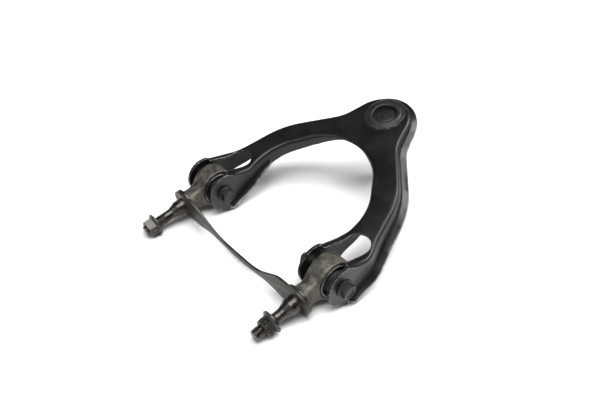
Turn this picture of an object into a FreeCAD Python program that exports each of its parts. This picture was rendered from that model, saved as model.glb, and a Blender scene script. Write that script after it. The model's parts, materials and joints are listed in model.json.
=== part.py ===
import FreeCAD, Part
import os
from math import cos, radians, sin, tan

# Front upper control arm of a double-wishbone suspension, in millimetres.
#
# Working frames, all with Y along the common pivot axis:
#   bracket frame  origin on the pivot axis, the two anchor studs point along -X
#   arm frame      bracket frame turned about Y so that the flat web is level
#   joint frame    origin at the top of the ball joint cap, Z along the joint's axis
# The finished part lies as it rests on a floor, +Z up, +X from the studs to the ball
# joint, with its origin midway between the two studs on the seat face of the strap.

Vec = FreeCAD.Vector

# Driving dimensions
eye_spacing = 187.6          # between the two anchor eyes, along Y
rest_tilt = 11.2             # bracket frame above level as the part lies, degrees
arm_tilt = 9.5               # web above the line of the studs, degrees
joint_tilt = 5.3             # ball joint axis from the bracket frame's Z, degrees
joint_reach = 178.5          # pivot axis to cap centre along X
joint_rise = 34.6            # pivot axis to cap top along Z

# Arm pressing
sheet = 3.0
web_top = 2.0                # web above the pivot axis, arm frame
bend_r = 4.0                 # outside radius of the bends
ear_reach = 22.0             # eye centre to the outer face of an ear
ear_r = 21.0                 # rounded end of an ear
ear_centre = (2.1, 0.7)      # centre of that rounding, arm frame (X, Z)
lip_outer = 6.0              # turned lip at the foot of the outer walls
lip_inner = 3.0              # and of the walls round the arch
lip_start = -1.0             # where both begin, arm frame X
foot_at_pivot = -25.5        # underside of the lip at the pivot axis
foot_slope = 0.08            # how fast the outer foot rises towards the nose
inner_foot = [(20, -24.0), (48, -18.0), (75, -14.5), (110, -11.0), (150, -8.0)]
arch_relief = [(50, -13.0), (16, -1.0)]   # inner wall runs out towards the arch's top
inner_lip_end = [(52, 70.6), (68, 73.4), (72, 76.0)]   # plan line that tapers the inner lip off
channel_start = 14.0         # where the ears run into the channel, arm frame X
notch_half = 13.5
notch_end = 54.2
nose_centre = 171.0
nose_r = 34.8
arch_centre = 70.0
arch_r = 62.5

# Anchors and bushes
eye_r = 21.8
eye_half = 9.9
eye_bore_r = 17.8
outer_sleeve_r = 16.3        # bore of the outer sleeve
outer_sleeve_half = 10.5
inner_sleeve_r = 9.0
rubber_half = 13.0
bolt_r = 5.0                 # M10 pivot bolt
sleeve_bore_r = 5.08
collar_r = 16.8
collar_face = -38.4          # face of the collar that carries the strap
collar_thick = 2.6
strap_thick = 2.6
strap_r = 16.6                # rounded ends of the strap
shoulder_r = 9.0             # seat of the strap on the stud
pilot_r = 8.6                # plain pilot of the stud
pilot_end = -51.5
shank_r = 5.6
thread_r = 6.0               # M12 x 1.25 stud
thread_start = -66.0
stud_tip = -92.2
nut_faces = {"front": -69.7, "rear": -77.4}

# Ball joint, joint frame
cap_r = 22.3
recess_r = 13.1
housing_r = 20.0
ball_r = 12.0
ball_z = -18.0
stud_end = -98.0
stud_thread_r = 6.0

sides = {"front": -1, "rear": 1}


def polygon_wire(points):
    corners = [Vec(*p) for p in points]
    return Part.makePolygon(corners + [corners[0]])


def turned(profile):
    """Solid of revolution about Z from a closed outline of (radius, z) points."""
    face = Part.Face(polygon_wire([(r, 0, z) for r, z in profile]))
    return face.revolve(Vec(0, 0, 0), Vec(0, 0, 1), 360)


def along_y(solid, y=0.0):
    """Turn a solid made about Z so that its axis runs along +Y, then move it to y."""
    solid.rotate(Vec(0, 0, 0), Vec(1, 0, 0), -90)
    solid.translate(Vec(0, y, 0))
    return solid


def along_minus_x(solid):
    """Turn a solid made about Z so that its axis runs along -X."""
    solid.rotate(Vec(0, 0, 0), Vec(0, 1, 0), -90)
    return solid


def hexagon(across_flats, z0, z1):
    """Hexagonal prism about Z between two heights."""
    corner = across_flats / 2 / cos(radians(30))
    points = [(corner * cos(radians(60 * k)), corner * sin(radians(60 * k)), z0) for k in range(6)]
    return Part.Face(polygon_wire(points)).extrude(Vec(0, 0, z1 - z0))


def chamfered_hexagon(across_flats, z0, z1, chamfer=1.2):
    """Hexagonal prism whose far end has its corners turned off."""
    corner = across_flats / 2 / cos(radians(30))
    blank = turned([(0, z0), (corner, z0), (corner, z1 - chamfer), (corner - chamfer * 1.7, z1), (0, z1)])
    return hexagon(across_flats, z0, z1).common(blank)


def in_row_frame(shape):
    """Lay a bracket-frame shape as the part rests, with the origin at the seat centre."""
    placed = shape.copy()
    placed.translate(Vec(-(collar_face - strap_thick), 0, 0))
    placed.rotate(Vec(0, 0, 0), Vec(0, 1, 0), -rest_tilt)
    return placed


def from_arm_frame(shape):
    shape.rotate(Vec(0, 0, 0), Vec(0, 1, 0), -arm_tilt)
    return shape


def from_joint_frame(shape):
    shape.rotate(Vec(0, 0, 0), Vec(0, 1, 0), -joint_tilt)
    shape.translate(Vec(joint_reach, 0, joint_rise))
    return shape


def rounded_face(corners):
    """Flat face in the XY plane from (x, y, corner radius) points, rounds tangent."""
    count = len(corners)
    spots = [Vec(x, y, 0) for x, y, _ in corners]
    trimmed = []
    for k, (_, _, radius) in enumerate(corners):
        here = spots[k]
        back = (spots[k - 1] - here).normalize()
        ahead = (spots[(k + 1) % count] - here).normalize()
        half = back.getAngle(ahead) / 2
        run = radius / tan(half) if radius else 0
        middle = here + (back + ahead).normalize() * (radius / sin(half) - radius) if radius else here
        trimmed.append((here + back * run, middle, here + ahead * run))
    edges = []
    for k, (start, middle, end) in enumerate(trimmed):
        if (end - start).Length > 1e-6:
            edges.append(Part.Arc(start, middle, end).toShape())
        following = trimmed[(k + 1) % count][0]
        if (following - end).Length > 1e-6:
            edges.append(Part.LineSegment(end, following).toShape())
    return Part.Face(Part.Wire(edges))


def upright(face):
    """Stand an XY face up in the XZ plane."""
    face.rotate(Vec(0, 0, 0), Vec(1, 0, 0), 90)
    return face


def tangent_corner(centre, radius, angle):
    """Where the tangents to a circle at +angle and -angle degrees meet on the X axis."""
    return (centre + radius / cos(radians(angle)), 0, radius)


def arm_outline(start):
    """Face of the wishbone seen square to its web: a C whose two legs end at start."""
    far = eye_spacing / 2 + ear_reach
    near = eye_spacing / 2 - ear_reach
    outer = [(start, far, 0), (36, far, 25), (56, 106.3, 60), (106.2, 90.3, 90), (156.8, 41.4, 45)]
    inner = [(76.7, 74.0, 60), (50, 74.0, 30), (36, near, 30), (start, near, 0)]
    nose = tangent_corner(nose_centre, nose_r, 72)
    arch = tangent_corner(arch_centre, arch_r, 52)
    flip = lambda corners: [(x, -y, r) for x, y, r in reversed(corners)]
    return rounded_face(outer + [nose] + flip(outer) + flip(inner) + [arch] + inner)


def top_line(inset):
    """Corners along the top of the arm's side: ear slope, knee, level web."""
    cx, cz = ear_centre
    r = ear_r - inset
    slope = radians(32)
    touch = (cx + r * sin(slope), cz + r * cos(slope))
    top = web_top - inset
    knee_x = touch[0] + (touch[1] - top) / tan(slope)
    return touch, slope, (knee_x, top, 30.0 + inset)


def foot_z(x):
    return foot_at_pivot + foot_slope * x


def side_profile(inset, foot_drop):
    """Side of the channel in the XZ plane, its top inset by a distance."""
    touch, slope, knee = top_line(inset)
    start = channel_start - 20
    end = 230.0
    return upright(rounded_face([
        (start, touch[1] + (touch[0] - start) * tan(slope), 0), (start, foot_z(start) - foot_drop, 0),
        (end, foot_z(end) - foot_drop, 0), (end, web_top - inset, 0), knee]))


def ear_profile():
    """Side of an ear in the XZ plane: round end, sloping top, running into the channel."""
    touch, slope, _ = top_line(0)
    left = ear_centre[0] - ear_r
    inside = channel_start + 6
    slope_z = lambda x: touch[1] - (x - touch[0]) * tan(slope)
    return upright(rounded_face([
        (left, slope_z(left), ear_r), (left, -8.0, 6.0), (-4.0, foot_z(-4.0), 2.0),
        (inside, foot_z(inside), 0), (inside, slope_z(inside) - bend_r, 0),
        (channel_start + 0.3, slope_z(channel_start) - 0.3, 0)]))


def block(outline, profile):
    """Solid that has a plan outline and a side profile."""
    plan = outline.copy()
    plan.translate(Vec(0, 0, -60))
    plan = plan.extrude(Vec(0, 0, 110))
    side = profile.copy()
    side.translate(Vec(0, 150, 0))
    side = side.extrude(Vec(0, -300, 0))
    return plan.common(side)


def round_top(solid, radius):
    """Round the edges between the top of a block and its walls."""
    edges = []
    for edge in solid.Edges:
        box = edge.BoundBox
        middle = edge.valueAt((edge.FirstParameter + edge.LastParameter) / 2)
        on_end = box.XMax < solid.BoundBox.XMin + 0.01
        if not on_end and middle.z > web_top - sheet - 0.5 and box.ZLength < 30:
            edges.append(edge)
    return solid.makeFillet(radius, edges)


def ear(y):
    """Flat ear of one sheet's thickness, outer face at y."""
    outward = 1 if abs(y) > eye_spacing / 2 else -1
    outward *= 1 if y > 0 else -1
    profile = ear_profile()
    profile.translate(Vec(0, y, 0))
    return profile.extrude(Vec(0, -outward * sheet, 0))


def arm_pressing():
    outline = arm_outline(channel_start)
    inside = arm_outline(-14).makeOffset2D(-sheet)
    skin = round_top(block(outline, side_profile(0, 0)), bend_r)
    core = round_top(block(inside, side_profile(sheet, 20)), bend_r - sheet)
    arm = skin.cut(core).cut(inner_wall_relief())
    pieces = foot_lips(inside)
    for side in sides.values():
        for reach in (ear_reach, -ear_reach):
            pieces.append(ear(side * eye_spacing / 2 + reach))
    arm = arm.fuse(pieces)
    for side in sides.values():
        y = side * eye_spacing / 2
        arm = arm.cut(notch(y))
        hole = Part.makeCylinder(bolt_r + 0.15, 60, Vec(0, y - 30, 0), Vec(0, 1, 0))
        arm = arm.cut(hole)
    arm = from_arm_frame(arm)
    seat = from_joint_frame(Part.makeCylinder(cap_r, 60, Vec(0, 0, -30)))
    return arm.cut(seat).removeSplitter()


def arch_zone():
    """Plan face that takes in the inner walls and none of the outer ones."""
    near = eye_spacing / 2 - ear_reach
    corner = [(76.7, 74.0, 60), (50, 74.0, 30), (36, near, 30), (-40, near, 0)]
    flip = [(x, -y, r) for x, y, r in reversed(corner)]
    return rounded_face(flip + [tangent_corner(arch_centre, arch_r, 52)] + corner).makeOffset2D(8)


def end_on(corners):
    """Face in the YZ plane from (y, z, corner radius) points."""
    face = rounded_face(corners)
    face.rotate(Vec(0, 0, 0), Vec(1, 1, 1), 120)
    return face


def arch_relief_solid():
    """Space under the inner wall where it runs out at the top of the arch."""
    (wide, low), (narrow, high) = arch_relief
    half = [(narrow, high, 20), (wide, low, 6), (wide, -60, 0)]
    flip = [(-y, z, radius) for y, z, radius in reversed(half)]
    face = end_on(half + flip)
    face.translate(Vec(95, 0, 0))
    return face.extrude(Vec(60, 0, 0))


def inner_wall_relief():
    """What is taken off the foot of the inner walls."""
    profile = upright(Part.Face(polygon_wire(
        [(x, z, 0) for x, z in inner_foot] + [(inner_foot[-1][0], -60, 0), (inner_foot[0][0], -60, 0)])))
    foot = block(arch_zone(), profile)
    return foot.fuse(arch_relief_solid().common(block(arch_zone(), tall_profile())))


def tall_profile():
    """Side profile that is higher than the whole arm."""
    return upright(Part.Face(polygon_wire([(-60, -59, 0), (230, -59, 0), (230, 49, 0), (-60, 49, 0)])))


def foot_lips(inside):
    """Lips turned out along the foot of the outer and of the inner walls."""
    hollow = inside.copy()
    hollow.translate(Vec(0, 0, -60))
    hollow = hollow.extrude(Vec(0, 0, 110))
    zone = block(arch_zone(), tall_profile())
    outer_foot = [(lip_start, foot_z(lip_start)), (230, foot_z(230))]
    outer = foot_band(lip_outer, outer_foot).cut(hollow).cut(zone)
    inner = foot_band(lip_inner, [(lip_start, foot_z(lip_start))] + inner_foot).cut(hollow)
    inner = inner.common(zone).cut(inner_lip_taper())
    return [outer, inner]


def inner_lip_taper():
    """Space past the place where the inner lip runs out, over the arm's whole height."""
    half = [(x, y, 0) for x, y in inner_lip_end] + [(160, inner_lip_end[-1][1], 0)]
    flip = [(x, -y, z) for x, y, z in reversed(half)]
    plan = Part.Face(polygon_wire(half + flip))
    return block(plan, tall_profile())


def foot_band(width, foot):
    """Band under the arm's whole plan, as thick as the sheet, that follows a foot line."""
    wide = arm_outline(lip_start + width).makeOffset2D(width)
    upper = [(x, z + sheet, 0) for x, z in reversed(foot)]
    return block(wide, upright(Part.Face(polygon_wire([(x, z, 0) for x, z in foot] + upper))))


def notch(y):
    """Round-ended slot in the web between two ears."""
    slot = Part.makeBox(notch_end - notch_half + 30, 2 * notch_half, 80, Vec(-30, y - notch_half, -40))
    return slot.fuse(Part.makeCylinder(notch_half, 80, Vec(notch_end - notch_half, y, -40)))


def anchor():
    """Forged eye, neck, collar and stud, with the eye on the origin."""
    eye = along_y(Part.makeCylinder(eye_r, 2 * eye_half), -eye_half)
    neck_r = 13.5
    neck_x = collar_face + collar_thick
    lean = radians(13)
    neck_points = [(neck_x, neck_r), (-eye_r * sin(lean), eye_r * cos(lean)),
                   (-eye_r * sin(lean), -eye_r * cos(lean)), (neck_x, -neck_r)]
    web_face = Part.Face(polygon_wire([(x, -eye_half, z) for x, z in neck_points]))
    web = web_face.extrude(Vec(0, 2 * eye_half, 0))
    root = along_minus_x(turned([(0, 12), (11.0, 12), (neck_r, -neck_x - 2), (neck_r + 1.5, -neck_x),
                                 (0, -neck_x)]))
    collar = along_minus_x(turned([
        (0, -neck_x), (collar_r - 0.8, -neck_x), (collar_r, -neck_x + 0.8),
        (collar_r, -collar_face - 0.6), (collar_r - 0.6, -collar_face), (0, -collar_face)]))
    shaft = along_minus_x(turned([
        (0, -collar_face), (shoulder_r, -collar_face), (shoulder_r, strap_thick - collar_face),
        (pilot_r, strap_thick - collar_face), (pilot_r, -pilot_end), (shank_r, -pilot_end + 6),
        (shank_r, -thread_start), (thread_r, -thread_start + 0.8), (thread_r, -stud_tip - 1.6),
        (thread_r - 1.6, -stud_tip), (0, -stud_tip)]))
    solid = eye.fuse([web, root, collar, shaft])
    bore = along_y(Part.makeCylinder(eye_bore_r, 80), -40)
    return solid.cut(bore).removeSplitter()


def bush_outer_sleeve():
    edge = 0.5
    return along_y(turned([
        (outer_sleeve_r, -outer_sleeve_half), (eye_bore_r - edge, -outer_sleeve_half),
        (eye_bore_r, -outer_sleeve_half + edge), (eye_bore_r, outer_sleeve_half - edge),
        (eye_bore_r - edge, outer_sleeve_half), (outer_sleeve_r, outer_sleeve_half)]))


def bush_rubber():
    """Rubber ring, waisted between its faces, that turns on the inner sleeve."""
    inner = inner_sleeve_r + 0.05
    waist = outer_sleeve_half - 3.0
    return along_y(turned([
        (inner, -rubber_half), (inner + 1.8, -rubber_half), (inner + 3.4, -waist),
        (outer_sleeve_r - 1.2, -waist), (outer_sleeve_r, -outer_sleeve_half + 1.0),
        (outer_sleeve_r, outer_sleeve_half - 1.0), (outer_sleeve_r - 1.2, waist),
        (inner + 3.4, waist), (inner + 1.8, rubber_half), (inner, rubber_half)]))


def bush_inner_sleeve():
    half = ear_reach - sheet
    return along_y(turned([(sleeve_bore_r, -half), (inner_sleeve_r, -half),
                           (inner_sleeve_r, half), (sleeve_bore_r, half)]))


def pivot_bolt():
    """M10 flanged bolt, head on the -Y side."""
    seat = ear_reach
    head = turned([(0, seat), (9.6, seat), (9.6, seat + 1.2), (8.3, seat + 2.6), (0, seat + 2.6)])
    hexed = chamfered_hexagon(14.0, seat + 2.6, seat + 8.4)
    length = 2 * ear_reach + 13.5
    shank = turned([(0, seat - length), (bolt_r - 1.2, seat - length), (bolt_r, seat - length + 1.2),
                    (bolt_r, seat), (0, seat)])
    bolt = head.fuse([hexed, shank]).removeSplitter()
    bolt.rotate(Vec(0, 0, 0), Vec(1, 0, 0), 90)
    return bolt


def pivot_nut():
    """M10 flanged nut against the +Y ear."""
    seat = ear_reach
    flange = turned([(0, seat), (10.6, seat), (10.6, seat + 1.2), (8.6, seat + 2.8), (0, seat + 2.8)])
    nut = flange.fuse(chamfered_hexagon(15.0, seat + 2.8, seat + 10.5))
    nut = nut.cut(Part.makeCylinder(bolt_r, 40, Vec(0, 0, 10)))
    return along_y(nut.removeSplitter())


def tower_nut(face_x):
    """M12 flanged nut on an anchor stud, with its flange towards the collar."""
    seat = -face_x
    flange = turned([(0, seat), (12.0, seat), (12.0, seat + 1.4), (9.9, seat + 3.2), (0, seat + 3.2)])
    nut = flange.fuse(chamfered_hexagon(17.0, seat + 3.2, seat + 12.0))
    nut = nut.cut(Part.makeCylinder(thread_r, 60, Vec(0, 0, 50)))
    return along_minus_x(nut.removeSplitter())


def spacer_strap():
    """Plate that holds the two collars at their distance, waisted and bowed down."""
    y = eye_spacing / 2
    r = strap_r
    half = [(30, -9.3, 50), (70, r, 25), (y + r, r, r), (y + r, -r, r), (70, -r, 30), (48, -12.0, 60)]
    flip = [(-x, z, radius) for x, z, radius in reversed(half)]
    face = end_on(half + [(0, -19.5, 150)] + flip)
    face.translate(Vec(collar_face - strap_thick, 0, 0))
    plate = face.extrude(Vec(strap_thick, 0, 0))
    for side in sides.values():
        plate = plate.cut(Part.makeCylinder(shoulder_r + 0.3, 20, Vec(-50, side * y, 0), Vec(1, 0, 0)))
    return plate


def ball_joint_cap():
    return turned([
        (recess_r, -6.0), (15.4, -6.0), (15.4, -2.6), (cap_r, -2.6), (cap_r, -1.9), (cap_r - 0.6, -1.5),
        (18.6, -1.3), (17.8, -0.5), (16.6, 0.0), (14.2, 0.0), (recess_r, -1.0)])


def ball_joint_plug():
    return turned([(0, -6.0), (recess_r, -6.0), (recess_r, -4.6), (10.5, -4.2), (0, -3.4)])


def ball_joint_housing():
    mouth = ball_z - 7.0
    return turned([
        (15.4, -2.6), (cap_r, -2.6), (cap_r, -14.0), (housing_r, -16.0), (housing_r, -31.0),
        (14.0, -31.0), (11.3, mouth - 1.2), (15.4, mouth - 1.2)])


def preload_washer():
    return turned([(6.0, -7.6), (13.0, -6.8), (13.0, -6.0), (6.0, -6.8)])


def spherical_seat(z0, z1):
    """Ring between two heights whose bore fits the ball."""
    gap = 0.05
    blank = turned([(0, z0), (15.4, z0), (15.4, z1), (0, z1)])
    return blank.cut(Part.makeSphere(ball_r + gap, Vec(0, 0, ball_z)))


def upper_bearing_seat():
    return spherical_seat(ball_z, -7.6)


def lower_bearing_seat():
    mouth = ball_z - 7.0
    seat = spherical_seat(mouth - 1.2, ball_z)
    return seat.cut(Part.makeCone(11.4, 9.6, 3.0, Vec(0, 0, mouth - 1.2), Vec(0, 0, 1)))


def ball_stud():
    """Ball, neck, boot seat, taper and M12 thread."""
    ball = Part.makeSphere(ball_r, Vec(0, 0, ball_z))
    ball = ball.cut(Part.makeBox(40, 40, 20, Vec(-20, -20, ball_z + 9.2)))
    shaft = turned([
        (0, ball_z), (6.0, ball_z), (6.0, -42.0), (8.4, -46.0), (8.4, -57.0), (6.7, -77.0),
        (5.4, -77.6), (5.4, -79.0), (stud_thread_r, -79.6), (stud_thread_r, stud_end + 1.5),
        (stud_thread_r - 1.5, stud_end), (0, stud_end)])
    return ball.fuse(shaft).removeSplitter()


def dust_boot():
    """Rubber boot from the housing's foot to the stud's shoulder."""
    grip = housing_r + 0.1
    wall = 1.8
    return turned([
        (grip, -23.5), (grip + wall, -23.5), (grip + wall, -31.0), (23.0, -35.5), (22.6, -40.0),
        (18.5, -44.5), (12.5, -47.0), (10.2, -49.0), (10.2, -55.5), (8.5, -55.5), (8.5, -48.2),
        (11.6, -45.4), (17.6, -42.9), (20.8, -39.4), (21.1, -35.9), (grip, -31.6)])


def boot_large_ring():
    inner = housing_r + 2.0
    return turned([(inner, -29.0), (inner + 1.2, -29.0), (inner + 1.2, -25.5), (inner, -25.5)])


def boot_small_ring():
    return turned([(10.3, -54.0), (11.3, -54.0), (11.3, -50.5), (10.3, -50.5)])


def bracket_side(name, side):
    """The pieces of one pivot, as node name and bracket-frame shape."""
    pieces = {
        f"{name}_anchor": anchor(),
        f"{name}_bush_outer_sleeve": bush_outer_sleeve(),
        f"{name}_bush_rubber": bush_rubber(),
        f"{name}_bush_inner_sleeve": bush_inner_sleeve(),
        f"{name}_pivot_bolt": pivot_bolt(),
        f"{name}_pivot_nut": pivot_nut(),
        f"{name}_tower_nut": tower_nut(nut_faces[name]),
    }
    for shape in pieces.values():
        shape.translate(Vec(0, side * eye_spacing / 2, 0))
    return pieces


def main():
    os.makedirs("parts", exist_ok=True)
    nodes = {"arm_pressing": arm_pressing(), "spacer_strap": spacer_strap()}
    joint_parts = [ball_joint_cap, ball_joint_plug, ball_joint_housing, preload_washer,
                   upper_bearing_seat, lower_bearing_seat, ball_stud, dust_boot,
                   boot_large_ring, boot_small_ring]
    for make in joint_parts:
        nodes[make.__name__] = from_joint_frame(make())
    for name, side in sides.items():
        nodes.update(bracket_side(name, side))
    for name, shape in nodes.items():
        placed = in_row_frame(shape)
        placed.exportStep(f"parts/{name}.step")
        box = placed.BoundBox
        print(f"{name:28s} valid {placed.isValid()} solids {len(placed.Solids)} "
              f"volume {placed.Volume:9.0f} z {box.ZMin:7.2f}..{box.ZMax:7.2f} x {box.XMin:7.2f}..{box.XMax:7.2f}")


main()
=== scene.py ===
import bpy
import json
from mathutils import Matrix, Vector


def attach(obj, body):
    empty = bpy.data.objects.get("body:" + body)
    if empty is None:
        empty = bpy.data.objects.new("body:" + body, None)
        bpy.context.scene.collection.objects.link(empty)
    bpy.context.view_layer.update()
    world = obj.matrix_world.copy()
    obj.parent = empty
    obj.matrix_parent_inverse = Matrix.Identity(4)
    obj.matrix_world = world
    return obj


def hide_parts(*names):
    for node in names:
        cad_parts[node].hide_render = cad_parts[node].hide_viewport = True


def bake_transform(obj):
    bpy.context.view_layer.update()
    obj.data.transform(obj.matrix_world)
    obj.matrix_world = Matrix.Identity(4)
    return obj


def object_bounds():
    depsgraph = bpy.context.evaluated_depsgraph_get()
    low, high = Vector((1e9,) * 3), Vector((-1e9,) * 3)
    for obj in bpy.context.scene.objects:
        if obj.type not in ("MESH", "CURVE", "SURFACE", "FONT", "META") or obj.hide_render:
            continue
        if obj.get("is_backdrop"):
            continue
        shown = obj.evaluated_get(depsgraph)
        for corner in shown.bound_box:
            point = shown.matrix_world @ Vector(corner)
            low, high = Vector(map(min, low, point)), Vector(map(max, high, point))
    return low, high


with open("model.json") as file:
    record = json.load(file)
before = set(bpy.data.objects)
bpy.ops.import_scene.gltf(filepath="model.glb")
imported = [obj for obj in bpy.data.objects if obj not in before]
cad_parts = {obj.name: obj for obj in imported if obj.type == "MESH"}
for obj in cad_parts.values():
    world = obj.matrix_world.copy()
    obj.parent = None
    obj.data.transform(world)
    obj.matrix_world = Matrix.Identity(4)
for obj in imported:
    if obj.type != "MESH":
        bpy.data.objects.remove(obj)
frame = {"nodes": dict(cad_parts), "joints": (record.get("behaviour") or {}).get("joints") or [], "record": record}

"""Looks of a pressed-steel suspension arm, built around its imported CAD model.

Every sub-assembly is drawn in millimetres in a local frame that is read from the
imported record, and is then laid in the part's own frame in metres.
"""

import json
import logging
import math
from collections.abc import Sequence
from dataclasses import dataclass, field, fields
from enum import Enum

import bmesh
import bpy
from mathutils import Matrix, Vector

LOG = logging.getLogger("control_arm")
MM = 0.001
DUST_COLOUR = (0.42, 0.41, 0.38)
DUST_DULLING = 0.4
WEAR_POLISH = 0.12
COAT_ROUGHNESS = 0.25
M12_RADII = (5.25, 6.0)
M10_RADII = (4.4, 5.0)
PITCH = 1.25
SIXTH = math.radians(60)
Colour = tuple[float, float, float]
Outline = Sequence[tuple[float, float]]


class Body(Enum):
    """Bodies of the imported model."""

    BRACKET = "bracket"
    ARM = "arm"
    BOOT = "boot"
    BOOT_COLLAR = "boot_collar"
    STUD = "stud"


class Slot(Enum):
    """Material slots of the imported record."""

    BLACK_COAT = "black_coat"
    CAP_COAT = "cap_coat"
    CAP_PLUG = "cap_plug"
    FORGED_STEEL = "forged_steel"
    STRAP_STEEL = "strap_steel"
    NUT_STEEL = "nut_steel"
    PHOSPHATED = "phosphated"
    SLEEVE_STEEL = "sleeve_steel"
    BRIGHT_STEEL = "bright_steel"
    SPRING_STEEL = "spring_steel"
    SEAT_PLASTIC = "seat_plastic"
    RUBBER = "rubber"


class Side(Enum):
    """The two pivots, named by where they lie along the pivot axis."""

    FRONT = "front"
    REAR = "rear"

    @property
    def sign(self) -> int:
        """Direction of this side along Y."""
        return -1 if self is Side.FRONT else 1


# Local frames


@dataclass(frozen=True)
class Datum:
    """Local frame in which a piece is drawn.

    Attributes:
        origin: Place of the frame's origin in the part's frame, in metres.
        x_axis: Direction of the local X axis.
        z_axis: Direction of the local Z axis, square to x_axis.
    """

    origin: Vector
    x_axis: Vector
    z_axis: Vector

    def matrix(self) -> Matrix:
        """Matrix from local millimetres to metres in the part's frame."""
        x_axis = self.x_axis.normalized()
        z_axis = self.z_axis.normalized()
        turn = Matrix((x_axis, z_axis.cross(x_axis), z_axis)).transposed().to_4x4()
        return Matrix.Translation(self.origin) @ turn @ Matrix.Scale(MM, 4)

    def point(self, x: float, y: float, z: float) -> Vector:
        """A local point in millimetres as a point of the part's frame."""
        return self.matrix() @ Vector((x, y, z))

    def moved(self, x: float, y: float, z: float) -> "Datum":
        """The same frame with its origin at a local point in millimetres."""
        return Datum(self.point(x, y, z), self.x_axis, self.z_axis)


@dataclass(frozen=True)
class Layout:
    """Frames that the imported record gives.

    Attributes:
        bracket: Origin on the pivot axis, studs along -X.
        ball: Origin at the top of the ball joint, Z along its axis.
        half_spacing: Middle of the part to an eye, millimetres.
    """

    bracket: Datum
    ball: Datum
    half_spacing: float = 93.8

    @classmethod
    def from_record(cls, ball_depth: float) -> "Layout":
        """Read the frames.

        Args:
            ball_depth: Depth of the ball's centre below the joint's top, millimetres.

        Returns:
            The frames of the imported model.
        """
        joints = {joint["name"]: joint for joint in frame["joints"]}
        mounts = {mount["name"]: mount for mount in frame["record"]["mounts"]}
        inboard = Vector(mounts["tower_studs"]["axis"]).normalized()
        outboard = -inboard
        upward = outboard.cross(Vector((0, 1, 0)))
        bracket = Datum(Vector(joints["arm_pivot"]["pos_m"]), outboard, upward)
        axis = Vector(joints["stud_spin"]["axis"]).normalized()
        centre = Vector(joints["stud_spin"]["pos_m"])
        across = Vector((0, 1, 0)).cross(axis)
        return cls(bracket, Datum(centre + axis * ball_depth * MM, across, axis))

    def eye(self, side: Side) -> Datum:
        """Frame at the centre of one anchor's eye."""
        return self.bracket.moved(0, side.sign * self.half_spacing, 0)

    def along_stud(self, side: Side) -> Datum:
        """Frame at an eye with Z along its stud, for turned shapes."""
        eye = self.eye(side)
        return Datum(eye.origin, eye.z_axis, -eye.x_axis)

    def along_pivot(self, side: Side, direction: int = 1) -> Datum:
        """Frame at an eye with Z along the pivot axis, for turned shapes."""
        eye = self.eye(side)
        return Datum(eye.origin, eye.x_axis, Vector((0, direction, 0)))


# Node groups and finishes


class Graph:
    """Adds and links nodes in one node tree."""

    def __init__(self, tree: bpy.types.NodeTree) -> None:
        """Work in a tree."""
        self.tree = tree

    def feed(self, entry: bpy.types.NodeSocket, value: object) -> None:
        """Link an input to a socket, or set it to a number or a colour."""
        if isinstance(value, bpy.types.NodeSocket):
            self.tree.links.new(value, entry)
        else:
            entry.default_value = (*value, 1.0) if entry.type == "RGBA" else value

    def add(self, kind: str, inputs: dict[str | int, object] | None = None,
            **settings: object) -> bpy.types.Node:
        """Add a node.

        Args:
            kind: The node's Blender type.
            inputs: What feeds its inputs, by their name or place.
            **settings: Properties of the node.

        Returns:
            The new node.
        """
        node = self.tree.nodes.new(kind)
        for key, value in settings.items():
            setattr(node, key, value)
        for key, value in (inputs or {}).items():
            self.feed(node.inputs[key], value)
        return node

    def place(self) -> bpy.types.NodeSocket:
        """Place on the object, in metres."""
        return self.add("ShaderNodeTexCoord").outputs["Object"]

    def noise(self, scale: object, detail: float = 4.0, roughness: float = 0.55,
              vector: bpy.types.NodeSocket | None = None) -> bpy.types.NodeSocket:
        """Noise between 0 and 1 at a scale per metre."""
        return self.add("ShaderNodeTexNoise", {
            "Vector": vector or self.place(), "Scale": scale, "Detail": detail,
            "Roughness": roughness}).outputs["Fac"]

    def math(self, operation: str, first: object, second: object = 0.0,
             clamp: bool = False) -> bpy.types.NodeSocket:
        """Result of a Math node whose inputs are sockets or numbers."""
        return self.add("ShaderNodeMath", {0: first, 1: second}, operation=operation,
                        use_clamp=clamp).outputs[0]

    def span(self, value: bpy.types.NodeSocket, low: float, high: float,
             new_low: float = 0.0, new_high: float = 1.0) -> bpy.types.NodeSocket:
        """A value eased from one range into another."""
        return self.add("ShaderNodeMapRange", {
            "Value": value, "From Min": low, "From Max": high, "To Min": new_low,
            "To Max": new_high}, interpolation_type="SMOOTHSTEP").outputs["Result"]

    def mix(self, mask: bpy.types.NodeSocket, first: object, second: object
            ) -> bpy.types.NodeSocket:
        """Colour mixed by a mask; each end is a socket or a colour."""
        return self.add("ShaderNodeMix", {0: mask, 6: first, 7: second},
                        data_type="RGBA").outputs[2]

    def group(self, tree: bpy.types.NodeTree, **values: float) -> bpy.types.NodeOutputs:
        """Outputs of a shared group that is placed with values of its own."""
        return self.add("ShaderNodeGroup", values, node_tree=tree).outputs


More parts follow.
